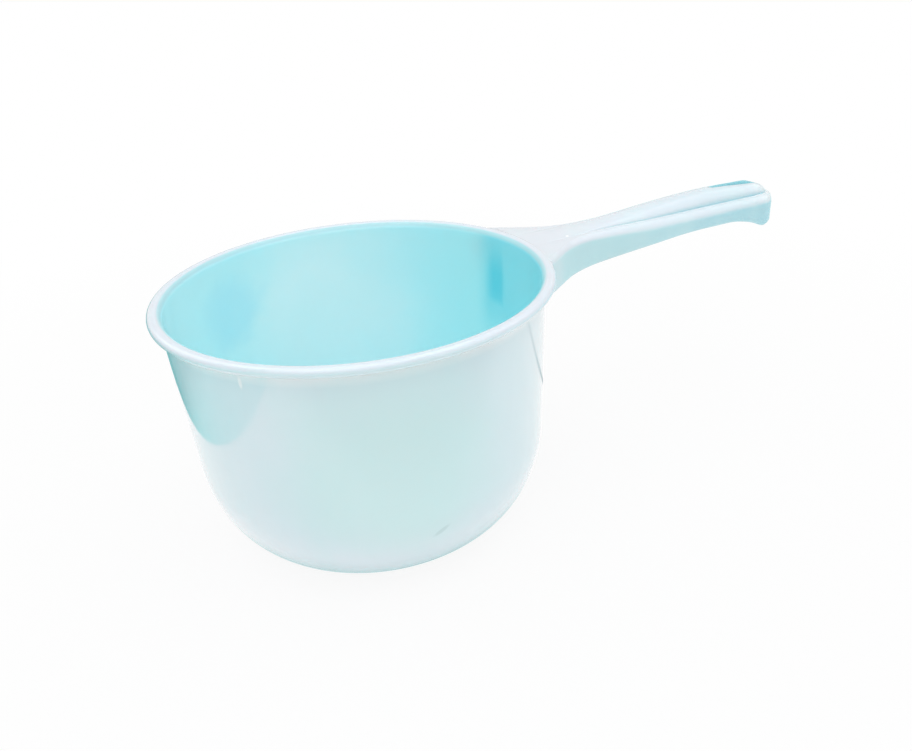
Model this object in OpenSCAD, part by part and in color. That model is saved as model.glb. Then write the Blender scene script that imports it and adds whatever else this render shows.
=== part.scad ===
// Water dipper, moulded in one piece: a deep round bowl with a beaded rim, and a hollow
// handle that is open below, with a raised crown and a hanging slot near its end.
// The bowl stands on the XY plane with its axis on Z, and the handle points along +X.

/* [Bowl] */
// Outer diameter of the rim, over the bead
rim_d = 180; // [160:1:220]
// Height from the foot to the top of the rim
bowl_h = 120; // [100:1:150]
// Thickness of the side wall
wall_t = 1.8; // [1.4:0.1:2.6]
// Thickness of the floor
floor_t = 2.2; // [1.6:0.1:3.4]
// Lean of the side wall from upright, in degrees
wall_draft = 2.3; // [1:0.1:5]
// Width that the round of the foot takes
foot_run = 34; // [20:1:42]
// Height that the round of the foot takes
foot_rise = 49; // [26:1:60]

/* [Rim] */
// Thickness of the round bead along the rim
bead_d = 4.2; // [3.4:0.1:6]
// How far the bead stands out from the side wall
bead_reach = 4.6; // [3.8:0.1:6]
// Height of the band just under the bead
band_h = 1.5; // [0.8:0.1:3]
// How far the band stands out from the side wall
band_out = 0.8; // [0.4:0.1:1.5]
// Radius of the soft inner edge of the mouth
lip_r = 3.4; // [1.5:0.1:4]

/* [Handle] */
// Length of the handle past the rim
handle_len = 153; // [120:1:190]
// Thickness of the handle's walls
handle_t = 1.8; // [1.4:0.1:2.4]
// How far the end of the handle sits below its root
handle_drop = 0.2; // [0:0.1:6]
// Depth of the handle's top below the top of the rim
top_step = 0.2; // [0.1:0.1:1]
// Width at the neck, the narrowest place
neck_w = 26; // [20:0.5:30]
// Distance of the neck past the rim
neck_out = 35; // [30:1:45]
// Width of the grip
grip_w = 30.2; // [26:0.2:36]
// Distance past the rim where the handle reaches its grip width
grip_out = 76; // [60:1:90]
// Radius of the sides where they turn towards the bowl
flare_r = 44; // [30:1:50]
// Angle of the sides where they meet the bowl, in degrees
flare_angle = 35.6; // [30:0.2:48]
// Radius of the rounded top edges at the grip
shoulder_r = 5; // [3:0.2:6]
// Radius of the rounded top edges at the bowl
root_shoulder_r = 3.2; // [1.6:0.2:4]
// Depth of the side walls at the bowl
root_depth = 16.6; // [14:0.2:24]
// Depth of the side walls at the grip
grip_depth = 9.8; // [8.6:0.2:15]
// Distance past the rim where the sides begin to grow shallower
taper_out = 8; // [6:0.5:24]
// Length over which the sides grow shallower
taper_len = 91; // [50:1:100]

/* [Crown] */
// Width of the raised crown along the top
crown_w = 17.8; // [14:0.2:20]
// Greatest height of the crown over the ledges beside it
crown_h = 6.6; // [5:0.2:9]
// Distance past the rim where the crown is highest
crown_peak_out = 112; // [90:1:115]
// Height of the crown at its far end
crown_end_h = 5.6; // [3:0.2:8]
// Distance between the crown's far end and the end of the handle
crown_end_gap = 0.4; // [0.2:0.2:3]
// Length of the crown's rounded nose
nose_len = 10.2; // [6:0.2:14]
// Width of the groove along each side of the crown
groove_w = 0.9; // [0.4:0.1:1.5]
// Depth of the groove along each side of the crown
groove_d = 0.6; // [0.2:0.1:1]
// Least width of the flat ledges beside the crown
ledge_w = 0.3; // [0.2:0.1:1.5]

/* [Tail] */
// Length of the tail, where the sides turn down as a stop for the hand
tail_len = 38.6; // [24:0.2:46]
// How far the tail turns down
tail_drop = 15; // [8:0.5:18]
// Radius of the end's upright corners
end_corner_r = 12; // [6:0.5:13]
// Radius of the top edge of the end
end_edge_r = 1.4; // [1:0.2:4]
// Length of the heel, over which the lower edge rises again to the end
heel_run = 14; // [8:0.5:18]
// How far the lower edge rises over the heel
heel_rise = 9; // [2:0.5:10]

/* [Hanging slot] */
// Length of the slot
slot_len = 34.6; // [20:0.2:40]
// Width of the slot at its wide end
slot_wide = 8.4; // [6:0.2:9]
// Width of the slot at its narrow end
slot_narrow = 3; // [2:0.2:6]
// Distance between the slot and the end of the handle
slot_gap = 3.8; // [3:0.2:10]

/* [Hidden] */
// Facets of a full turn, degrees between the points of the bead and the handle's end, of the
// foot and of the crown, and the number of steps over a rounded top edge
round_fn = 128;
arc_step = 15;
foot_step = 5;
crown_step = 15;
edge_steps = 4;
// Least sine of the angle that a rounded top edge turns through, and the furthest that the
// crown's nose is followed as a share of its length, so that no face closes to nothing
least_turn = 0.1;
nose_limit = 0.998;
// How far a cutting form runs past the surface that it opens
past = 1;

rim_r = rim_d / 2;
bead_r = bead_d / 2;
bead_axis = rim_r - bead_r;
wall_r = rim_r - bead_reach;
band_z = bowl_h - bead_d - band_h;
slope = tan(wall_draft);
lip_angle = 70;

// The foot is a quarter of an ellipse, and the side wall runs on from it as a tangent.
// foot_turn is the angle on the ellipse at which it reaches the lean of the wall.
function foot_turn(run, rise) = atan2(slope * rise, run);
foot_top = foot_rise * (1 - sin(foot_turn(foot_run, foot_rise)));
base_r = wall_r - slope * (band_z - foot_top) - foot_run * cos(foot_turn(foot_run, foot_rise));
function foot_arc(run, rise) = [
    for (i = [0 : ceil((90 - foot_turn(run, rise)) / foot_step)])
        let (a = max(foot_turn(run, rise), 90 - i * foot_step))
            [base_r + run * cos(a), foot_rise - rise * sin(a)]
];
inner_run = foot_run - wall_t;
inner_rise = foot_rise - floor_t;
inner_foot = foot_arc(inner_run, inner_rise);
inner_last = inner_foot[len(inner_foot) - 1];
mouth_r = inner_last[0] + slope * (bowl_h - lip_r - inner_last[1]);

// Places along the handle, measured from the bowl's axis
end_x = rim_r + handle_len;
neck_x = rim_r + neck_out;
grip_x = rim_r + grip_out;
taper_x = rim_r + taper_out;
peak_x = rim_r + crown_peak_out;
tail_x = end_x - tail_len;
crown_end_x = end_x - crown_end_gap;
neck_half = neck_w / 2;
grip_half = grip_w / 2;
crown_half = crown_w / 2;
// The end keeps a flat part between its upright corners
end_flat = 3;
corner_r = min(end_corner_r, grip_half - end_flat);
round_len = max(corner_r, crown_end_gap + nose_len);
top_z = bowl_h - top_step;
tail_r = (tail_len * tail_len + tail_drop * tail_drop) / (2 * tail_drop);

// The handle's sides start in the middle of the bowl's wall, where their straight part
// crosses it: root_x is the larger root of that line with the wall's circle.
root_r = wall_r - wall_t / 2;
root_tan = tan(flare_angle);
root_line = neck_half + flare_r * (1 - cos(flare_angle))
    + root_tan * (neck_x - flare_r * sin(flare_angle));
root_x = (root_line * root_tan
    + sqrt(pow(root_r, 2) * (1 + pow(root_tan, 2)) - pow(root_line, 2)))
    / (1 + pow(root_tan, 2));

function smooth(t) = let (s = min(1, max(0, t))) s * s * (3 - 2 * s);
function quarter(r, reach) = r - sqrt(max(0, r * r - pow(min(r, max(0, reach)), 2)));

// Half the handle's width at x, with its outline drawn in by inset
function half_w(x, inset) =
    let (turn_r = flare_r + inset, turn_x = neck_x - turn_r * sin(flare_angle))
        x > neck_x
            ? neck_half + (grip_half - neck_half) * smooth((x - neck_x) / (grip_x - neck_x)) - inset
        : x > turn_x
            ? neck_half + flare_r - sqrt(pow(turn_r, 2) - pow(neck_x - x, 2))
        : neck_half + flare_r - turn_r * cos(flare_angle) + root_tan * (turn_x - x);

// Height of the ledges beside the crown at x, and radius of the rounded edges beside them
function ledge_z(x) = top_z - handle_drop * max(0, x - rim_r) / handle_len;
function shoulder(x) = root_shoulder_r + (shoulder_r - root_shoulder_r) * smooth((x - rim_r) / grip_out);

// Height of the lower edge of the sides at x, never up in the rounded edges
function edge_z(x) = ledge_z(x) - max(
    shoulder(x) + handle_t,
    root_depth
        - (root_depth - grip_depth) * smooth((x - taper_x) / taper_len)
        + quarter(tail_r, x - tail_x)
        - heel_rise * smooth((x - end_x + heel_run) / heel_run)
);

// Rise of the crown over the ledges at x, and half its width. At its nose it narrows by the
// first share below and sinks by the second.
function crown_rise(x) = x < peak_x
    ? crown_h * smooth((x - rim_r) / (peak_x - rim_r))
    : crown_h + (crown_end_h - crown_h) * smooth((x - peak_x) / (crown_end_x - peak_x));
function crown_side(x) = min(crown_half, half_w(x, 0) - shoulder(x) - groove_w - ledge_w);
function nose_t(x) = min(nose_limit, max(0, x - crown_end_x + nose_len) / nose_len);
function nose(x) = sqrt(1 - pow(nose_t(x), 2));
function nose_rise(x) = 1 - pow(nose_t(x), 2);

// Half the width at x of an outline drawn in by inset, where the rounded edges have drawn it
// in by a further side_in at the sides and end_in at the end
function plan_half(x, inset, end, side_in, end_in) =
    let (corner = corner_r - inset, t = min(1, max(0, x - end + corner) / (corner - end_in)))
        half_w(x, inset) - side_in - max(0, corner - side_in) * (1 - sqrt(1 - t * t));

// Outline of the handle across x, from one lower edge over the top to the other: the outer
// skin with inset 0, or the hollow with inset handle_t, whose end lies at x = end
function side_points(x, inset, end, r, fall) = [for (i = [0 : edge_steps])
    let (a = asin(max(least_turn, 1 - fall / r)) * i / edge_steps, depth = r * (1 - sin(a)))
        [-plan_half(x, inset, end, r * (1 - cos(a)), quarter(end_edge_r, end_edge_r - depth)),
            ledge_z(x) - inset - depth]];
function crown_points(half, base, rise) =
    [for (a = [crown_step - 90 : crown_step : 90 - crown_step]) [half * sin(a), base + rise * cos(a)]];
function mirrored(points) = [for (i = [len(points) - 1 : -1 : 0]) [-points[i][0], points[i][1]]];
function section(x, inset, end, groove) =
    let (
        r = shoulder(x) - inset / 2,
        fall = quarter(end_edge_r, x - end + end_edge_r),
        ledge = ledge_z(x) - inset - fall,
        side = side_points(x, inset, end, r, fall),
        room = -side[edge_steps][0] - groove_w - ledge_w,
        crown = min(room, (crown_side(x) - inset) * nose(x + inset)),
        drop = groove * smooth((x - neck_x) / (grip_x - neck_x)) * nose(x),
        rise = crown_rise(x) * nose_rise(x + inset),
        flank = concat([[side[0][0], edge_z(x)]], side, [[-crown - groove_w, ledge], [-crown, ledge - drop]])
    )
        concat(flank, crown_points(crown, ledge - drop, rise + drop), mirrored(flank));

// A shell through two rows of outlines, one for its skin and one for its hollow. It is open
// below and at its root, and a wall closes its end, with a point in the middle of each face.
function placed(x, points) = [for (p = points) [x, p[0], p[1]]];
function reversed(list) = [for (i = [len(list) - 1 : -1 : 0]) list[i]];
function middle(x, points) = [x, 0, (points[0][1] + points[floor(len(points) / 2)][1]) / 2];
module shell(skin_xs, skin, hollow_xs, hollow) {
    n = len(skin[0]);
    loop = 2 * n;
    end = len(skin_xs) - 1;
    last = end * loop;
    centre = last + loop;
    polyhedron(
        points = concat(
            [for (i = [0 : end])
                each concat(placed(skin_xs[i], skin[i]), reversed(placed(hollow_xs[i], hollow[i])))],
            [middle(skin_xs[end], skin[end]), middle(hollow_xs[end], hollow[end])]
        ),
        faces = concat(
            [for (j = [0 : n - 2])
                each [[j + 1, j, loop - 1 - j], [j + 1, loop - 1 - j, loop - 2 - j]]],
            [for (j = [0 : n - 1]) [centre, last + j, last + (j + 1) % n]],
            [for (j = [0 : n - 1]) [centre + 1, last + n + j, last + n + (j + 1) % n]],
            [[last, last + n - 1, last + n], [last, last + n, last + loop - 1]],
            [for (i = [0 : end - 1]) for (j = [0 : loop - 1])
                let (k = (j + 1) % loop, a = i * loop)
                    each [[a + j, a + loop + k, a + loop + j], [a + j, a + k, a + loop + k]]]
        )
    );
}

// Places of the outlines: close together where the shape turns, and on rounded ends
function spread(from, to, count) = [for (i = [0 : count - 1]) from + (to - from) * i / count];
function stations(end) = concat(
    spread(root_x, neck_x, 10),
    spread(neck_x, tail_x, 12),
    spread(tail_x, end - round_len, 6),
    [for (a = [0 : arc_step / 2 : 90]) end - round_len * (1 - sin(a))]
);

module bowl_form() {
    rotate_extrude($fn = round_fn)
        polygon(concat(
            [[0, 0]],
            foot_arc(foot_run, foot_rise),
            [[wall_r, band_z], [wall_r + band_out, band_z], [wall_r + band_out, bowl_h - bead_d]],
            [for (a = [-90 : arc_step : 90])
                [bead_axis + bead_r * cos(a), bowl_h - bead_r + bead_r * sin(a)]],
            [[0, bowl_h]]
        ));
}

module bowl_hollow() {
    rotate_extrude($fn = round_fn)
        polygon(concat(
            [[0, floor_t]],
            inner_foot,
            [for (a = [0 : lip_angle / 5 : lip_angle])
                [mouth_r + lip_r * (1 - cos(a)), bowl_h - lip_r * (1 - sin(a))]],
            [[mouth_r + lip_r * (1 - cos(lip_angle)) + past / tan(90 - lip_angle), bowl_h + past],
                [0, bowl_h + past]]
        ));
}

// A teardrop, narrow towards the bowl, cut down through the crown
module hanging_slot() {
    wide_r = slot_wide / 2;
    narrow_r = slot_narrow / 2;
    wide_x = end_x - slot_gap - wide_r;
    narrow_x = end_x - slot_gap - slot_len + narrow_r;
    side = acos((wide_r - narrow_r) / (wide_x - narrow_x));
    translate([0, 0, ledge_z(end_x) - handle_t - past])
        linear_extrude(height = crown_h + handle_t + handle_drop + 2 * past) {
            translate([wide_x, 0])
                circle(r = wide_r, $fn = round_fn);
            translate([narrow_x, 0])
                circle(r = narrow_r, $fn = round_fn);
            polygon([
                [wide_x - wide_r * cos(side), wide_r * sin(side)],
                [narrow_x - narrow_r * cos(side), narrow_r * sin(side)],
                [narrow_x - narrow_r * cos(side), -narrow_r * sin(side)],
                [wide_x - wide_r * cos(side), -wide_r * sin(side)]
            ]);
        }
}

module handle() {
    hollow_end = end_x - handle_t;
    shell(
        stations(end_x),
        [for (x = stations(end_x)) section(x, 0, end_x, groove_d)],
        stations(hollow_end),
        [for (x = stations(hollow_end)) section(x, handle_t, hollow_end, 0)]
    );
}

module dipper() {
    color("#c3e8ee")
        difference() {
            union() {
                bowl_form();
                handle();
            }
            bowl_hollow();
            hanging_slot();
        }
}

dipper();
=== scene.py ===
from math import acos, asin, atan2, cos, pi, radians, sin, sqrt, tan

import bmesh
import bpy
from mathutils import Matrix, Vector


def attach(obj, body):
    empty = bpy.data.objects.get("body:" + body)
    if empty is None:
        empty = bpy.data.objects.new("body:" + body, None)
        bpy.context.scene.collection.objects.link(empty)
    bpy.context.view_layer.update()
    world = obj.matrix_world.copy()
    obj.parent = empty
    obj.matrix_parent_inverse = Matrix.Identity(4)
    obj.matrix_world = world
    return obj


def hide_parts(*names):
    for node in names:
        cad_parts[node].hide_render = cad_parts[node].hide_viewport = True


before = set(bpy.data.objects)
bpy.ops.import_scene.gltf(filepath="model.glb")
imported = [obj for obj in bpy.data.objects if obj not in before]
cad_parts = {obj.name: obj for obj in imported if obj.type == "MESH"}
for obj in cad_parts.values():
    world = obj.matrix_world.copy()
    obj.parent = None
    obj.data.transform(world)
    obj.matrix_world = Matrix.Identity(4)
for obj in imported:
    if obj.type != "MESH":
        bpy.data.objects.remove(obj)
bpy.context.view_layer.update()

MM = 0.001

# The sizes of part.scad, in millimetres
RIM_R = 90.0
BOWL_H = 120.0
WALL_T = 1.8
FLOOR_T = 2.2
SLOPE = tan(radians(2.3))
FOOT_RUN = 34.0
FOOT_RISE = 49.0
BEAD_R = 2.1
BEAD_REACH = 4.6
BAND_H = 1.5
BAND_OUT = 0.8
LIP_R = 3.4
LIP_ANGLE = 70.0
HANDLE_LEN = 153.0
HANDLE_T = 1.8
HANDLE_DROP = 0.2
TOP_STEP = 0.2
NECK_W = 26.0
NECK_OUT = 35.0
GRIP_W = 30.2
GRIP_OUT = 76.0
FLARE_R = 44.0
FLARE_ANGLE = 35.6
SHOULDER_R = 5.0
ROOT_SHOULDER_R = 3.2
ROOT_DEPTH = 16.6
GRIP_DEPTH = 9.8
TAPER_OUT = 8.0
TAPER_LEN = 91.0
CROWN_W = 17.8
CROWN_H = 6.6
CROWN_PEAK_OUT = 112.0
CROWN_END_H = 5.6
CROWN_END_GAP = 0.4
NOSE_LEN = 10.2
NOSE_LIMIT = 0.998
GROOVE_W = 0.9
GROOVE_D = 0.6
LEDGE_W = 0.3
TAIL_LEN = 38.6
TAIL_DROP = 15.0
END_CORNER_R = 12.0
END_FLAT = 3.0
END_EDGE_R = 1.4
HEEL_RUN = 14.0
HEEL_RISE = 9.0
SLOT_LEN = 34.6
SLOT_WIDE = 8.4
SLOT_NARROW = 3.0
SLOT_GAP = 3.8
PAST = 1.0

# The groove beside the crown: how far out from the crown, and how deep, as shares of its size
GROOVE_SHAPE = ((1, 0), (0.7, 0.35), (0.3, 0.85), (0, 1))
# The least share of the shoulder's quarter turn that is left at the handle's end
EDGE_LEAST = 0.1

# How finely the curves are divided
TURNS = 240
FOOT_STEPS = 40
WALL_STEPS = 16
BEAD_STEPS = 24
LIP_STEPS = 12
NECK_STEPS = 28
GRIP_STEPS = 34
TAIL_STEPS = 16
END_STEPS = 24
SIDE_STEPS = 6
EDGE_STEPS = 10
CROWN_STEPS = 28
SLOT_WIDE_STEPS = 48
SLOT_NARROW_STEPS = 24
SHARP_ANGLE = radians(32)

WALL_R = RIM_R - BEAD_REACH
BAND_Z = BOWL_H - 2 * BEAD_R - BAND_H
END_X = RIM_R + HANDLE_LEN
NECK_X = RIM_R + NECK_OUT
GRIP_X = RIM_R + GRIP_OUT
TAPER_X = RIM_R + TAPER_OUT
PEAK_X = RIM_R + CROWN_PEAK_OUT
TAIL_X = END_X - TAIL_LEN
CROWN_END_X = END_X - CROWN_END_GAP
TOP_Z = BOWL_H - TOP_STEP
TAIL_R = (TAIL_LEN ** 2 + TAIL_DROP ** 2) / (2 * TAIL_DROP)
NECK_HALF = NECK_W / 2
GRIP_HALF = GRIP_W / 2
CORNER_R = min(END_CORNER_R, GRIP_HALF - END_FLAT)
ROUND_LEN = max(CORNER_R, CROWN_END_GAP + NOSE_LEN)


def steps(start, stop, count):
    return [start + (stop - start) * i / count for i in range(count + 1)]


def smooth(t):
    t = min(1.0, max(0.0, t))
    return t * t * (3 - 2 * t)


def quarter(r, reach):
    return r - sqrt(max(0.0, r * r - min(r, max(0.0, reach)) ** 2))


FOOT_TURN = atan2(SLOPE * FOOT_RISE, FOOT_RUN)
FOOT_TOP = FOOT_RISE * (1 - sin(FOOT_TURN))
BASE_R = WALL_R - SLOPE * (BAND_Z - FOOT_TOP) - FOOT_RUN * cos(FOOT_TURN)


def foot_arc(run, rise):
    top = atan2(SLOPE * rise, run)
    return [
        (BASE_R + run * cos(a), FOOT_RISE - rise * sin(a))
        for a in steps(pi / 2, top, FOOT_STEPS)
    ]


def straight(start, end):
    """The points between two points of a profile, without the two."""
    return [
        (start[0] + (end[0] - start[0]) * t, start[1] + (end[1] - start[1]) * t)
        for t in steps(0, 1, WALL_STEPS)[1:-1]
    ]


def outer_profile():
    axis = RIM_R - BEAD_R
    bead = [
        (axis + BEAD_R * cos(a), BOWL_H - BEAD_R + BEAD_R * sin(a))
        for a in steps(-pi / 2, pi / 2, BEAD_STEPS)
    ]
    band = [(WALL_R, BAND_Z), (WALL_R + BAND_OUT, BAND_Z), (WALL_R + BAND_OUT, BOWL_H - 2 * BEAD_R)]
    foot = foot_arc(FOOT_RUN, FOOT_RISE)
    return [(0, 0)] + foot + straight(foot[-1], band[0]) + band + bead + [(0, BOWL_H)]


def hollow_profile():
    foot = foot_arc(FOOT_RUN - WALL_T, FOOT_RISE - FLOOR_T)
    low_r, low_z = foot[-1]
    mouth_r = low_r + SLOPE * (BOWL_H - LIP_R - low_z)
    wall = straight(foot[-1], (mouth_r, BOWL_H - LIP_R))
    lip = [
        (mouth_r + LIP_R * (1 - cos(a)), BOWL_H - LIP_R * (1 - sin(a)))
        for a in steps(0, radians(LIP_ANGLE), LIP_STEPS)
    ]
    top = (lip[-1][0] + PAST / tan(radians(90 - LIP_ANGLE)), BOWL_H + PAST)
    return [(0, FLOOR_T)] + foot + wall + lip + [top, (0, BOWL_H + PAST)]


def as_object(name, bm):
    bmesh.ops.recalc_face_normals(bm, faces=bm.faces)
    mesh = bpy.data.meshes.new(name)
    bm.to_mesh(mesh)
    bm.free()
    obj = bpy.data.objects.new(name, mesh)
    bpy.context.scene.collection.objects.link(obj)
    return obj


def lathe(name, profile):
    bm = bmesh.new()
    rings = []
    for r, z in profile:
        if r == 0:
            rings.append([bm.verts.new((0, 0, z * MM))])
            continue
        angles = [2 * pi * i / TURNS for i in range(TURNS)]
        rings.append([bm.verts.new((r * cos(a) * MM, r * sin(a) * MM, z * MM)) for a in angles])
    for low, high in zip(rings, rings[1:]):
        for i in range(TURNS):
            k = (i + 1) % TURNS
            if len(low) == 1:
                bm.faces.new((low[0], high[k], high[i]))
            elif len(high) == 1:
                bm.faces.new((low[i], low[k], high[0]))
            else:
                bm.faces.new((low[i], low[k], high[k], high[i]))
    return as_object(name, bm)


def half_w(x, inset):
    turn_r = FLARE_R + inset
    turn_x = NECK_X - turn_r * sin(radians(FLARE_ANGLE))
    if x > NECK_X:
        return NECK_HALF + (GRIP_HALF - NECK_HALF) * smooth((x - NECK_X) / (GRIP_X - NECK_X)) - inset
    if x > turn_x:
        return NECK_HALF + FLARE_R - sqrt(turn_r ** 2 - (NECK_X - x) ** 2)
    widening = tan(radians(FLARE_ANGLE)) * (turn_x - x)
    return NECK_HALF + FLARE_R - turn_r * cos(radians(FLARE_ANGLE)) + widening


def ledge_z(x):
    return TOP_Z - HANDLE_DROP * max(0, x - RIM_R) / HANDLE_LEN


def shoulder(x):
    return ROOT_SHOULDER_R + (SHOULDER_R - ROOT_SHOULDER_R) * smooth((x - RIM_R) / GRIP_OUT)


def edge_z(x):
    depth = ROOT_DEPTH - (ROOT_DEPTH - GRIP_DEPTH) * smooth((x - TAPER_X) / TAPER_LEN)
    depth += quarter(TAIL_R, x - TAIL_X) - HEEL_RISE * smooth((x - END_X + HEEL_RUN) / HEEL_RUN)
    return ledge_z(x) - max(shoulder(x) + HANDLE_T, depth)


def crown_rise(x):
    if x < PEAK_X:
        return CROWN_H * smooth((x - RIM_R) / (PEAK_X - RIM_R))
    return CROWN_H + (CROWN_END_H - CROWN_H) * smooth((x - PEAK_X) / (CROWN_END_X - PEAK_X))


def crown_side(x):
    return min(CROWN_W / 2, half_w(x, 0) - shoulder(x) - GROOVE_W - LEDGE_W)


def nose_t(x):
    return min(NOSE_LIMIT, max(0, x - CROWN_END_X + NOSE_LEN) / NOSE_LEN)


def plan_half(x, inset, end, side_in, end_in):
    corner = CORNER_R - inset
    t = min(1, max(0, x - end + corner) / (corner - end_in))
    return half_w(x, inset) - side_in - max(0, corner - side_in) * (1 - sqrt(1 - t * t))


def section(x, inset, end, groove):
    """The line of the shell's outer or inner face across the handle, from one lower edge to the other."""
    r = shoulder(x) - inset / 2
    fall = quarter(END_EDGE_R, x - end + END_EDGE_R)
    ledge = ledge_z(x) - inset - fall
    edge = []
    for a in steps(0, asin(max(EDGE_LEAST, 1 - fall / r)), EDGE_STEPS):
        depth = r * (1 - sin(a))
        end_in = quarter(END_EDGE_R, END_EDGE_R - depth)
        y = -plan_half(x, inset, end, r * (1 - cos(a)), end_in)
        edge.append((y, ledge_z(x) - inset - depth))
    half, top = edge[0]
    low = edge_z(x)
    nose = sqrt(1 - nose_t(x) ** 2)
    inset_nose = 1 - nose_t(x + inset) ** 2
    crown = min(-edge[-1][0] - GROOVE_W - LEDGE_W, (crown_side(x) - inset) * sqrt(inset_nose))
    drop = groove * smooth((x - NECK_X) / (GRIP_X - NECK_X)) * nose
    rise = crown_rise(x) * inset_nose
    side = [(half, low + (top - low) * t) for t in steps(0, 1, SIDE_STEPS)[:-1]] + edge
    side += [(-crown - GROOVE_W * out, ledge - drop * deep) for out, deep in GROOVE_SHAPE]
    bow = [
        (crown * sin(a), ledge - drop + (rise + drop) * cos(a))
        for a in steps(-pi / 2, pi / 2, CROWN_STEPS)[1:-1]
    ]
    return side + bow + [(-y, z) for y, z in reversed(side)]


def root_x():
    """Where the handle's shell starts, in the middle of the bowl's wall."""
    r = WALL_R - WALL_T / 2
    slope = tan(radians(FLARE_ANGLE))
    line = NECK_HALF + FLARE_R * (1 - cos(radians(FLARE_ANGLE)))
    line += slope * (NECK_X - FLARE_R * sin(radians(FLARE_ANGLE)))
    return (line * slope + sqrt(r * r * (1 + slope ** 2) - line ** 2)) / (1 + slope ** 2)


def stations(end):
    return (
        steps(root_x(), NECK_X, NECK_STEPS)[:-1]
        + steps(NECK_X, TAIL_X, GRIP_STEPS)[:-1]
        + steps(TAIL_X, end - ROUND_LEN, TAIL_STEPS)[:-1]
        + [end - ROUND_LEN * (1 - sin(a)) for a in steps(0, pi / 2, END_STEPS)]
    )


def handle_shell():
    bm = bmesh.new()
    hollow_end = END_X - HANDLE_T
    loops = []
    for x, inner_x in zip(stations(END_X), stations(hollow_end)):
        outer = [(x, y, z) for y, z in section(x, 0, END_X, GROOVE_D)]
        inner = [(inner_x, y, z) for y, z in section(inner_x, HANDLE_T, hollow_end, 0)]
        points = outer + inner[::-1]
        loops.append([bm.verts.new((px * MM, py * MM, pz * MM)) for px, py, pz in points])
    size = len(loops[0])
    n = size // 2
    for a, b in zip(loops, loops[1:]):
        for j in range(size):
            k = (j + 1) % size
            bm.faces.new((a[j], a[k], b[k], b[j]))
    first = loops[0]
    last = loops[-1]
    for j in range(n - 1):
        bm.faces.new((first[j + 1], first[j], first[size - 1 - j], first[size - 2 - j]))
    for ring in (last[:n], last[n:]):
        low = min(v.co.z for v in ring)
        high = max(v.co.z for v in ring)
        middle = bm.verts.new((ring[0].co.x, 0, (low + high) / 2))
        for j in range(n):
            bm.faces.new((middle, ring[j], ring[(j + 1) % n]))
    bm.faces.new((last[0], last[n - 1], last[n], last[size - 1]))
    return as_object("handle_shell", bm)


def slot_cutter():
    wide_r = SLOT_WIDE / 2
    narrow_r = SLOT_NARROW / 2
    wide_x = END_X - SLOT_GAP - wide_r
    narrow_x = END_X - SLOT_GAP - SLOT_LEN + narrow_r
    side = acos((wide_r - narrow_r) / (wide_x - narrow_x))
    ring = [
        (wide_x - wide_r * cos(a), wide_r * sin(a))
        for a in steps(side, 2 * pi - side, SLOT_WIDE_STEPS)
    ]
    ring += [
        (narrow_x - narrow_r * cos(a), narrow_r * sin(a))
        for a in steps(-side, side, SLOT_NARROW_STEPS)
    ]
    low = (ledge_z(END_X) - HANDLE_T - PAST) * MM
    high = (ledge_z(END_X) + CROWN_H + HANDLE_DROP + PAST) * MM
    bm = bmesh.new()
    bottom = [bm.verts.new((x * MM, y * MM, low)) for x, y in ring]
    top = [bm.verts.new((x * MM, y * MM, high)) for x, y in ring]
    bm.faces.new(bottom)
    bm.faces.new(top)
    for i in range(len(ring)):
        k = (i + 1) % len(ring)
        bm.faces.new((bottom[i], bottom[k], top[k], top[i]))
    return as_object("slot_cutter", bm)


def cut(obj, other, operation):
    mod = obj.modifiers.new(operation, "BOOLEAN")
    mod.operation = operation
    mod.solver = "EXACT"
    mod.object = other
    bpy.context.view_layer.update()
    evaluated = obj.evaluated_get(bpy.context.evaluated_depsgraph_get())
    mesh = bpy.data.meshes.new_from_object(evaluated)
    obj.modifiers.clear()
    old = obj.data
    obj.data = mesh
    bpy.data.meshes.remove(old)
    bpy.data.objects.remove(other)


dipper = lathe("dipper_moulding", outer_profile())
cut(dipper, handle_shell(), "UNION")
cut(dipper, lathe("hollow", hollow_profile()), "DIFFERENCE")
cut(dipper, slot_cutter(), "DIFFERENCE")
dipper.data.name = "dipper_moulding"
for polygon in dipper.data.polygons:
    polygon.use_smooth = True
dipper.data.set_sharp_from_angle(angle=SHARP_ANGLE)

# The lip's inside tone ends outside this radius, and fades from this height over this much more
LIP_EDGE_R = RIM_R - BEAD_R - 0.6
LIP_FADE_Z = BOWL_H - 0.6
LIP_FADE_H = 0.4

# The handle's root seen inside the bowl as painted shade: angles round the bowl, and depths under the rim
# in millimetres
ROOT_START = radians(4.5)
ROOT_START_SOFT = radians(5)
ROOT_END = radians(21)
ROOT_END_SOFT = radians(8)
ROOT_LINE_LEN = 44.0
ROOT_LINE_FADE = 12
ROOT_LINE_TOP = 0.5
ROOT_LINE_TOP_LEN = 24
FAINT_TURN = radians(11.3)
FAINT_HALF = radians(3)
FAINT_LEVEL = 0.2
FIELD_LEVEL = 0.55
FIELD_PAST = radians(2)
FIELD_SOFT = radians(9)
FIELD_END = radians(34)
FIELD_END_SOFT = radians(14)
FIELD_LEN = 66
FIELD_FADE = 30

# How far round the band under the bead its painted highlight reaches, in millimetres: below, above, inward,
# outward
BAND_MARGINS = (0.7, 0.2, 0.5, 0.4)

# How far past the slot's outline its walls may lie, and the steepest normal that counts as a wall
SLOT_PAST_END = 1
SLOT_PAST_SIDE = 0.5
SLOT_WALL_TILT = 0.3


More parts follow.
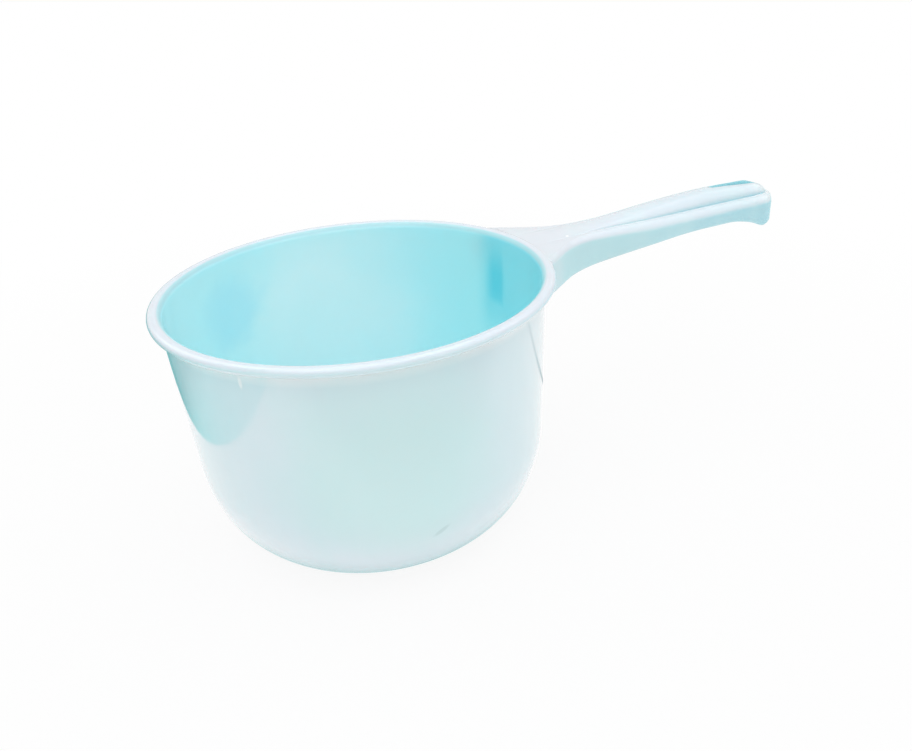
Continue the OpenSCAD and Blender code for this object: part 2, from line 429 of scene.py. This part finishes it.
def inside_weight(point):
    """1 on the bowl's inner side and 0 on its outer side, with a short fade on top of the lip."""
    r = sqrt(point.x ** 2 + point.y ** 2) / MM
    z = point.z / MM
    if z > BOWL_H - LIP_R:
        return 0.0 if r > LIP_EDGE_R else 1 - smooth((z - LIP_FADE_Z) / LIP_FADE_H)
    middle = WALL_R - SLOPE * (BAND_Z - z) - WALL_T / 2
    if z < FOOT_TOP:
        dz = (FOOT_RISE - z) / (FOOT_RISE - FLOOR_T / 2)
        middle = BASE_R + (FOOT_RUN - WALL_T / 2) * sqrt(max(0, 1 - dz * dz)) if dz < 1 else -1
    return 0.0 if r > middle else 1.0


def root_shade_weight(point):
    """Painted shade where the handle's side walls stand behind the bowl's wall: the far one as a line, the
    near one faintly.
    """
    turn = atan2(point.y, point.x)
    depth = BOWL_H - point.z / MM
    line = smooth((ROOT_END - turn) / ROOT_END_SOFT) * smooth((turn - ROOT_START) / ROOT_START_SOFT)
    faint = FAINT_LEVEL * smooth(1 - abs(turn + FAINT_TURN) / FAINT_HALF)
    reach = smooth((ROOT_LINE_LEN - depth) / ROOT_LINE_FADE)
    reach *= ROOT_LINE_TOP + (1 - ROOT_LINE_TOP) * smooth(depth / ROOT_LINE_TOP_LEN)
    field = FIELD_LEVEL * smooth((ROOT_END + FIELD_PAST - turn) / FIELD_SOFT)
    field *= smooth((turn + FIELD_END) / FIELD_END_SOFT)
    return max(max(line, faint) * reach, field * smooth((FIELD_LEN - depth) / FIELD_FADE))


def band_highlight_weight(point):
    """The step under the bead faces outward and catches the light, painted on it as a pale highlight."""
    below, above, inward, outward = BAND_MARGINS
    r = sqrt(point.x ** 2 + point.y ** 2) / MM
    in_height = BAND_Z - below < point.z / MM < BAND_Z + BAND_H + above
    return 1.0 if in_height and WALL_R - inward < r < WALL_R + BAND_OUT + outward else 0.0


def in_slot(polygon):
    past_start = polygon.center.x / MM > END_X - SLOT_GAP - SLOT_LEN - SLOT_PAST_END
    before_end = polygon.center.x / MM < END_X - SLOT_GAP + SLOT_PAST_END
    across = abs(polygon.center.y) / MM < SLOT_WIDE / 2 + SLOT_PAST_SIDE
    return past_start and before_end and across and abs(polygon.normal.z) < SLOT_WALL_TILT


for layer_name, weigh in (("inside", inside_weight), ("root", root_shade_weight), ("band", band_highlight_weight)):
    layer = dipper.data.attributes.new(layer_name, "FLOAT", "POINT")
    layer.data.foreach_set("value", [weigh(v.co) for v in dipper.data.vertices])

slot_walls = dipper.data.attributes.new("slot", "FLOAT", "CORNER")
for face in dipper.data.polygons:
    if in_slot(face):
        for corner in face.loop_indices:
            slot_walls.data[corner].value = 1.0


class Nodes:
    """A material's node tree, with short calls to add and link nodes."""

    # The colour sockets of a Mix node, which share their names with those of its other types
    MIX_A = 6
    MIX_B = 7
    MIX_RESULT = 2

    def __init__(self, name):
        self.material = bpy.data.materials.new(name)
        self.material.use_nodes = True
        self.tree = self.material.node_tree
        self.tree.nodes.clear()
        self.output = self.tree.nodes.new("ShaderNodeOutputMaterial")

    def add(self, kind, inputs=None, links=None, **settings):
        node = self.tree.nodes.new(kind)
        for key, value in settings.items():
            setattr(node, key, value)
        for key, value in (inputs or {}).items():
            node.inputs[key].default_value = value
        for key, value in (links or {}).items():
            self.tree.links.new(value, node.inputs[key])
        return node

    def math(self, operation, a, b=None, clamp=False):
        node = self.add("ShaderNodeMath", operation=operation, use_clamp=clamp)
        for i, value in enumerate((a, b)):
            if value is None:
                continue
            if isinstance(value, (int, float)):
                node.inputs[i].default_value = value
            else:
                self.tree.links.new(value, node.inputs[i])
        return node.outputs[0]

    def measure(self, operation, where, point=None):
        """A length, a distance from a point, or a distance along a direction."""
        inputs = {1: point} if point else {}
        node = self.add("ShaderNodeVectorMath", operation=operation, inputs=inputs, links={0: where})
        return node.outputs["Value"]

    def ramp(self, value, low, high, out_low=0.0, out_high=1.0):
        node = self.add("ShaderNodeMapRange", interpolation_type="SMOOTHSTEP")
        node.inputs["From Min"].default_value = low
        node.inputs["From Max"].default_value = high
        node.inputs["To Min"].default_value = out_low
        node.inputs["To Max"].default_value = out_high
        self.tree.links.new(value, node.inputs["Value"])
        return node.outputs["Result"]

    def mix(self, factor, a, b):
        node = self.add("ShaderNodeMix", data_type="RGBA")
        for socket, value in (("Factor", factor), (self.MIX_A, a), (self.MIX_B, b)):
            if isinstance(value, tuple):
                node.inputs[socket].default_value = value
            else:
                self.tree.links.new(value, node.inputs[socket])
        return node.outputs[self.MIX_RESULT]


def srgb(r, g, b):
    def linear(c):
        c /= 255
        return c / 12.92 if c <= 0.04045 else ((c + 0.055) / 1.055) ** 2.4
    return (linear(r), linear(g), linear(b), 1.0)


# The plastic's tones outside; their paleness is partly painted light, for the bright light on the outside
WALL = srgb(217, 232, 238)
# Painted light: the foot is paler, lit by the bright floor beside it
LIT_FOOT = srgb(233, 241, 251)
# Painted highlight on the step under the bead
BAND_HIGHLIGHT = srgb(244, 250, 252)
HANDLE_SIDE = srgb(197, 228, 233)
HANDLE_SIDE_END = srgb(180, 217, 228)
# Painted light: the tones of what faces up are paler, for the top light and its sheen on it
LIT_TOP = srgb(217, 224, 233)
GRIP_LIT_TOP = srgb(212, 223, 232)
NOSE_LIT_TOP = srgb(228, 236, 242)
FLOW_STREAK = srgb(212, 234, 237)
# Painted shade: the slot's walls are deeper in tone, as they stand in shade
SHADED_SLOT_WALLS = srgb(172, 226, 237)
CLOUD = srgb(186, 228, 230)

# The plastic's tones inside the bowl; their deeper tone is partly painted light, for light bouncing round
# inside
BOWL = srgb(200, 244, 253)
# Painted light: the low inside faces up and is paler in the light from above
LIT_BOWL_FLOOR = srgb(224, 248, 253)
# Painted shade: the inside is deeper by the handle, which keeps light off it
BOWL_SHADE_BY_HANDLE = srgb(184, 238, 242)
# Painted shade where the handle's root stands behind the bowl's wall
ROOT_SHADE = srgb(102, 213, 227)
LIP = srgb(176, 216, 222)

# Where one tone gives way to the next: start, end, and the later tone's strength at each, if not 0 and 1.
# Along x, in metres from the bowl's axis towards the handle's end
BOWL_SHADE_BY_HANDLE_FADE = (0.04, 0.085)
HANDLE_START = (0.088, 0.1)
HANDLE_SIDE_FADE = (0.12, 0.24)
GRIP_TOP_FADE = (0.12, 0.18)
NOSE_TOP_FADE = (0.225, 0.238)
# By height, in metres
FOOT_FADE = (0.004, 0.055, 0.9, 0.0)
BOWL_FLOOR_FADE = (0.06, 0.1, 1.0, 0.0)
LIP_FADE = (0.1172, 0.1188, 0.0, 0.9)
# By the upward part of the normal
BOWL_FLOOR_TILT = (0.0, 0.6)
TOP_TILT = (0.05, 0.5)
# By a noise's value
FLOW_FADE = (0.45, 0.75, 0.0, 0.3)
CLOUD_FADE = (0.35, 0.65, 0.0, 0.12)
# By the distance from a mark's middle, as a share of its half sizes
MARK_FADE = (0.4, 1.0)

# The noises' scales
CLOUD_SCALE = 14.0
FLOW_SCALE = (55.0, 55.0, 9.0)
WARP_SCALE = 30.0
GRAIN_SCALE = 900.0
SWELL_SCALE = 22.0

# The grain noise's range, and the roughness at each end of it
POLISH = (0.3, 0.7, 0.05, 0.09)
INSIDE_ROUGHER = 0.1

# Patches with uneven edges: centre, inner and outer radius, strength, colour
# Painted shade: a greener, slightly darker patch on the front of the wall below the rim
SHADED_FRONT_PATCH = ((-0.0027, -0.0666, 0.083), 0.02, 0.06, 0.6, srgb(204, 235, 231))
# Painted light: a pale pool of light on the inside's far wall
LIT_PATCH = ((0.021, 0.094, 0.09), 0.02, 0.07, 0.85, srgb(225, 248, 250))
# Painted shade: a bluer patch left of it, in the shade of the rim
SHADED_PATCH = ((-0.028, 0.0855, 0.104), 0.009, 0.024, 0.6, srgb(184, 231, 247))
PATCH_WARP = 0.03

# Two painted highlights and a faint grey mark on the outside: centre, turn, half sizes, colour, strength
HIGHLIGHTS_AND_GREY_MARK = (
    # A painted highlight under the bead
    ((-0.066, -0.054, 0.1106), (0, 0, 0), (0.0011, 0.0011, 0.0036), srgb(250, 253, 254), 0.8),
    # A painted highlight on the handle's flare
    ((0.1084, -0.0076, 0.12), (0, 0, 0), (0.0011, 0.0011, 0.0011), srgb(252, 254, 255), 0.9),
    # A faint grey mark low on the front of the wall
    ((-0.002, -0.081, 0.0341), (0, radians(-32), 0), (0.0055, 0.003, 0.0016), srgb(178, 204, 204), 0.4),
)


def patch(n, base, uneven, spot):
    centre, inner, outer, strength, tint = spot
    return n.mix(n.ramp(n.measure("DISTANCE", uneven, centre), inner, outer, strength, 0.0), base, tint)


def noise(n, where, scale, detail):
    return n.add("ShaderNodeTexNoise", inputs={"Scale": scale, "Detail": detail}, links={"Vector": where})


def plastic():
    n = Nodes("polypropylene")
    where = n.add("ShaderNodeTexCoord").outputs["Object"]
    facing = n.add("ShaderNodeNewGeometry").outputs["Normal"]
    upward = n.add("ShaderNodeSeparateXYZ", links={"Vector": facing}).outputs["Z"]
    inside, root, slot, band = [
        n.add("ShaderNodeAttribute", attribute_name=name).outputs["Fac"]
        for name in ("inside", "root", "slot", "band")
    ]
    place = n.add("ShaderNodeSeparateXYZ", links={"Vector": where})
    along = place.outputs["X"]
    height = place.outputs["Z"]
    cloud = noise(n, where, CLOUD_SCALE, 3.0).outputs["Fac"]
    flow = n.add("ShaderNodeMapping", inputs={"Scale": FLOW_SCALE}, links={"Vector": where})
    streak = noise(n, flow.outputs[0], 1.0, 2.0).outputs["Fac"]
    warp = noise(n, where, WARP_SCALE, 3.0).outputs["Color"]
    uneven = n.add(
        "ShaderNodeVectorMath", operation="MULTIPLY_ADD",
        inputs={1: (PATCH_WARP, PATCH_WARP, PATCH_WARP)}, links={0: warp, 2: where},
    ).outputs["Vector"]

    # Upright walls have a tone of their own; what faces up is paler, painted light for the top light and
    # its sheen
    handle = n.mix(n.ramp(along, *HANDLE_SIDE_FADE), HANDLE_SIDE, HANDLE_SIDE_END)
    side = n.mix(n.ramp(along, *HANDLE_START), WALL, handle)
    # Painted light: paler low on the wall, near the bright floor
    side = n.mix(n.ramp(height, *FOOT_FADE), side, LIT_FOOT)
    # Painted highlight on the step under the bead
    side = n.mix(band, side, BAND_HIGHLIGHT)
    # Painted shade on the front of the wall below the rim
    side = patch(n, side, uneven, SHADED_FRONT_PATCH)
    lit_top_tone = n.mix(n.ramp(along, *GRIP_TOP_FADE), LIT_TOP, GRIP_LIT_TOP)
    lit_top_tone = n.mix(n.ramp(along, *NOSE_TOP_FADE), lit_top_tone, NOSE_LIT_TOP)
    body = n.mix(n.ramp(upward, *TOP_TILT), side, lit_top_tone)
    body = n.mix(n.ramp(streak, *FLOW_FADE), body, FLOW_STREAK)

    # The bowl's inside is deeper, with a pale patch of painted light on the far wall and a bluer one of
    # painted shade left of it
    # Painted light: the low inside is paler where it faces up to the light
    lit_low_part = n.math("MULTIPLY", n.ramp(upward, *BOWL_FLOOR_TILT), n.ramp(height, *BOWL_FLOOR_FADE))
    bowl = n.mix(lit_low_part, BOWL, LIT_BOWL_FLOOR)
    bowl = patch(n, bowl, uneven, LIT_PATCH)
    bowl = patch(n, bowl, uneven, SHADED_PATCH)
    # Painted shade on the inside by the handle
    bowl = n.mix(n.ramp(along, *BOWL_SHADE_BY_HANDLE_FADE), bowl, BOWL_SHADE_BY_HANDLE)
    # Painted shade by the handle's root
    bowl = n.mix(root, bowl, ROOT_SHADE)
    bowl = n.mix(n.ramp(height, *LIP_FADE), bowl, LIP)

    # Painted light: the outside's tones are paler and the inside's deeper, for the light that falls on each
    colour = n.mix(inside, body, bowl)
    colour = n.mix(n.ramp(cloud, *CLOUD_FADE), colour, CLOUD)
    # Two painted highlights and a faint grey mark
    for centre, turn, half, tint, strength in HIGHLIGHTS_AND_GREY_MARK:
        near = n.add(
            "ShaderNodeMapping", vector_type="TEXTURE",
            inputs={"Location": centre, "Rotation": turn, "Scale": half}, links={"Vector": where},
        )
        far = n.measure("LENGTH", near.outputs[0])
        colour = n.mix(n.ramp(far, *MARK_FADE, strength, 0.0), colour, tint)
    # Painted shade on the slot's walls
    colour = n.mix(slot, colour, SHADED_SLOT_WALLS)

    # Only the outside has a clear coat, and the inside is a little rougher, so the lip mirrors no dark line
    polish = n.ramp(noise(n, where, GRAIN_SCALE, 2.0).outputs["Fac"], *POLISH)
    swell = noise(n, where, SWELL_SCALE, 1.0).outputs["Fac"]
    bump = n.add(
        "ShaderNodeBump", inputs={"Strength": 0.25, "Distance": 0.0005}, links={"Height": swell},
    )
    shader = n.add(
        "ShaderNodeBsdfPrincipled",
        inputs={
            "IOR": 1.5, "Coat Roughness": 0.03,
            "Subsurface Weight": 0.6, "Subsurface Scale": 0.004, "Subsurface Radius": (0.8, 1.0, 1.0),
        },
        links={
            "Base Color": colour,
            "Coat Weight": n.math("SUBTRACT", 1.0, inside),
            "Roughness": n.math("ADD", polish, n.math("MULTIPLY", inside, INSIDE_ROUGHER)),
            "Normal": bump.outputs[0],
        },
    )
    n.tree.links.new(shader.outputs[0], n.output.inputs["Surface"])
    return n.material


dipper.data.materials.clear()
dipper.data.materials.append(plastic())
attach(dipper, "root")
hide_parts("dipper")

# The camera, where the photograph was taken from
FOCAL_PX = 800.0
IMAGE_W = 912.0
SENSOR = 36.0
NEAR_CLIP = 0.01
CAMERA_PLACE = Vector((-0.10347, -0.3266, 0.24446))
CAMERA_RIGHT = Vector((0.89274, -0.44623, -0.06247))
CAMERA_UP = Vector((0.25657, 0.38947, 0.88458))
CAMERA_BACK = Vector((-0.3704, -0.80573, 0.46218))
camera_data = bpy.data.cameras.new("camera")
camera_data.sensor_width = SENSOR
camera_data.lens = FOCAL_PX * SENSOR / IMAGE_W
camera_data.clip_start = NEAR_CLIP
camera = bpy.data.objects.new("camera", camera_data)
rows = zip(CAMERA_RIGHT, CAMERA_UP, CAMERA_BACK, CAMERA_PLACE)
camera.matrix_world = Matrix((*rows, (0, 0, 0, 1)))
bpy.context.scene.collection.objects.link(camera)
bpy.context.scene.camera = camera

# Soft lamps, all turned towards one point: name, place, size, power
LIGHT_TARGET = Vector((0.03, 0, 0.07))
LIGHTS = (
    ("near_light", (-0.4, -0.6, 1.1), 1.4, 4.3),
    ("far_light", (0.9, -0.3, 1.3), 1.5, 3.8),
    ("top_light", (0.0, 0.0, 1.0), 1.1, 2.5),
    ("back_light", (-0.6, 0.8, 1.0), 1.0, 2.0),
    ("low_light", (0.7, -1.1, 0.5), 0.8, 0.7),
)
for light_name, light_place, light_size, light_power in LIGHTS:
    light_data = bpy.data.lights.new(light_name, "AREA")
    light_data.shape = "SQUARE"
    light_data.size = light_size
    light_data.energy = light_power
    light = bpy.data.objects.new(light_name, light_data)
    light.location = light_place
    light.rotation_euler = (LIGHT_TARGET - light.location).to_track_quat("-Z", "Y").to_euler()
    bpy.context.scene.collection.objects.link(light)

# The world's strength for light, for reflections, and for the camera, where 1 is white
WORLD_LEVEL = 0.62
MIRROR_LEVEL = 0.8
CAMERA_LEVEL = 1.0
WHITE = (1, 1, 1, 1)
world = bpy.data.worlds.new("studio")
world.use_nodes = True
bpy.context.scene.world = world
sky = world.node_tree.nodes["Background"]
sky.inputs["Color"].default_value = WHITE
path = world.node_tree.nodes.new("ShaderNodeLightPath")
mirrored_level = world.node_tree.nodes.new("ShaderNodeMapRange")
mirrored_level.inputs["To Min"].default_value = WORLD_LEVEL
mirrored_level.inputs["To Max"].default_value = MIRROR_LEVEL
world.node_tree.links.new(path.outputs["Is Glossy Ray"], mirrored_level.inputs["Value"])
level = world.node_tree.nodes.new("ShaderNodeMapRange")
level.inputs["To Max"].default_value = CAMERA_LEVEL
world.node_tree.links.new(path.outputs["Is Camera Ray"], level.inputs["Value"])
world.node_tree.links.new(mirrored_level.outputs[0], level.inputs["To Min"])
world.node_tree.links.new(level.outputs[0], sky.inputs["Strength"])

FLOOR_HALF = 3.0
FLOOR_GAP = 0.0003
FLOOR_COLOUR = (0.82, 0.82, 0.82, 1)
# The share of white that hides the floor's shadow near the object, and how far off it becomes all white
SHADOW_HIDE = 0.9
SHADOW_FADE = (0.2, 0.6)

# What the object mirrors of the floor, as painted reflections, in metres on it: a white sheet, darker at
# its front, with a crease behind the object drawn as a line of painted shade and a painted shadow under the
# bowl, a dim room past the sheet's left edge, and a paler part past the handle
SHEET_ACROSS = (0.893, -0.449, 0)
SHEET_EDGE = (-0.1741, -0.1701)
SHEET_FRONT = (-0.2, -0.13)
SHEET_FRONT_COLOUR = (0.6, 0.6, 0.6, 1)
UNDER_BOWL_SHADOW = (0.06, 0.088)
UNDER_BOWL_SHADOW_COLOUR = (0.5, 0.7, 0.71, 1)
CREASE_ACROSS = (0.518, 0.855, 0)
CREASE_AT = 0.1218
CREASE_FADE = (0.0015, 0.006, 0.75, 0.0)
CREASE_SHADE_COLOUR = (0.3, 0.4, 0.42, 1)
ROOM_FADE = (0.06, 0.17)
ROOM_NEAR = (0.27, 0.79, 0.8, 1)
ROOM_FAR = (0.17, 0.48, 0.5, 1)
PAST_HANDLE = (0.27, 0.32)
PAST_HANDLE_COLOUR = (0.6, 0.86, 0.91, 1)


def floor():
    bm = bmesh.new()
    bmesh.ops.create_grid(bm, x_segments=2, y_segments=2, size=FLOOR_HALF)
    obj = as_object("floor", bm)
    obj.location.z = -FLOOR_GAP
    n = Nodes("floor")
    where = n.add("ShaderNodeTexCoord").outputs["Object"]
    place = n.add("ShaderNodeSeparateXYZ", links={"Vector": where})
    away = n.measure("LENGTH", where)
    across = n.measure("DOT_PRODUCT", where, SHEET_ACROSS)
    behind = n.measure("DOT_PRODUCT", where, CREASE_ACROSS)
    sheet = n.mix(n.ramp(place.outputs["Y"], *SHEET_FRONT), SHEET_FRONT_COLOUR, WHITE)
    sheet = n.mix(n.ramp(away, *UNDER_BOWL_SHADOW), UNDER_BOWL_SHADOW_COLOUR, sheet)
    from_crease = n.math("ABSOLUTE", n.math("SUBTRACT", behind, CREASE_AT))
    sheet = n.mix(n.ramp(from_crease, *CREASE_FADE), sheet, CREASE_SHADE_COLOUR)
    room = n.mix(n.ramp(place.outputs["Y"], *ROOM_FADE), ROOM_NEAR, ROOM_FAR)
    mirrored = n.mix(n.ramp(across, *SHEET_EDGE), room, sheet)
    mirrored = n.mix(n.ramp(place.outputs["X"], *PAST_HANDLE), mirrored, PAST_HANDLE_COLOUR)
    lit = n.add("ShaderNodeBsdfDiffuse", inputs={"Color": FLOOR_COLOUR})
    # The floor glows with this map for glossy rays only: painted reflections on the object
    mirror = n.add("ShaderNodeEmission", links={"Color": mirrored})
    white = n.add("ShaderNodeEmission", inputs={"Color": WHITE})
    rays = n.add("ShaderNodeLightPath")
    direct = n.math("ADD", rays.outputs["Is Camera Ray"], rays.outputs["Is Transmission Ray"], clamp=True)
    whiteness = n.math("MULTIPLY", direct, n.ramp(away, *SHADOW_FADE, SHADOW_HIDE, 1.0))
    seen = n.add("ShaderNodeMixShader", links={0: whiteness, 1: lit.outputs[0], 2: white.outputs[0]})
    is_glossy = rays.outputs["Is Glossy Ray"]
    both = n.add("ShaderNodeMixShader", links={0: is_glossy, 1: seen.outputs[0], 2: mirror.outputs[0]})
    n.tree.links.new(both.outputs[0], n.output.inputs["Surface"])
    obj.data.materials.append(n.material)


floor()

bpy.context.scene.view_settings.view_transform = "Standard"
